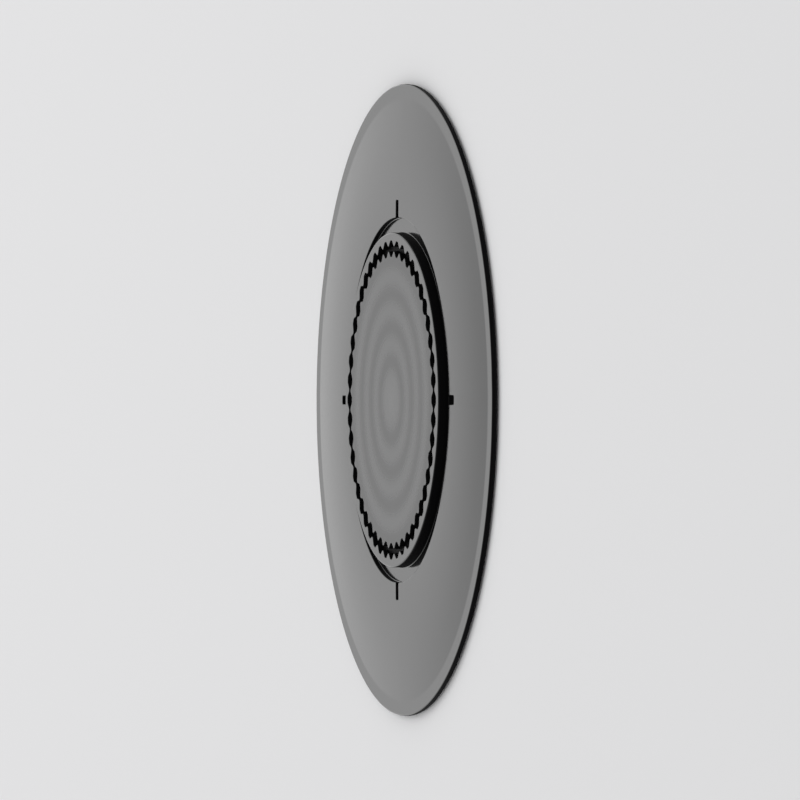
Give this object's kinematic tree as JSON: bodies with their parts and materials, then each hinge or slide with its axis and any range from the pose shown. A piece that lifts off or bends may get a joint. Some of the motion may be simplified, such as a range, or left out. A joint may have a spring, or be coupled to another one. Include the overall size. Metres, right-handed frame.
{
  "type": "adhesive magnetic phone patch",
  "caption": "Thin round stick-on patch for the back of a phone, with a domed sealing flange and a raised magnetic boss that has a toothed slot for a holder.",
  "frame": {"origin": "centre of the adhesive face, where the patch meets the phone", "axes": "+Z out of the phone along the boss; +X and +Y through alignment marks"},
  "size_m": [0.06, 0.06, 0.0018],
  "materials": {
    "moulded_plastic": "satin-gloss black moulded polycarbonate",
    "magnet_plating": "nickel-plated magnet",
    "keeper_steel": "plain rolled steel",
    "adhesive_foam": "matte dark grey acrylic foam tape"
  },
  "bodies": {
    "root": {"patch_body": "moulded_plastic", "magnet": "magnet_plating", "keeper_plate": "keeper_steel", "adhesive_pad": "adhesive_foam"}
  },
  "joints": []
}
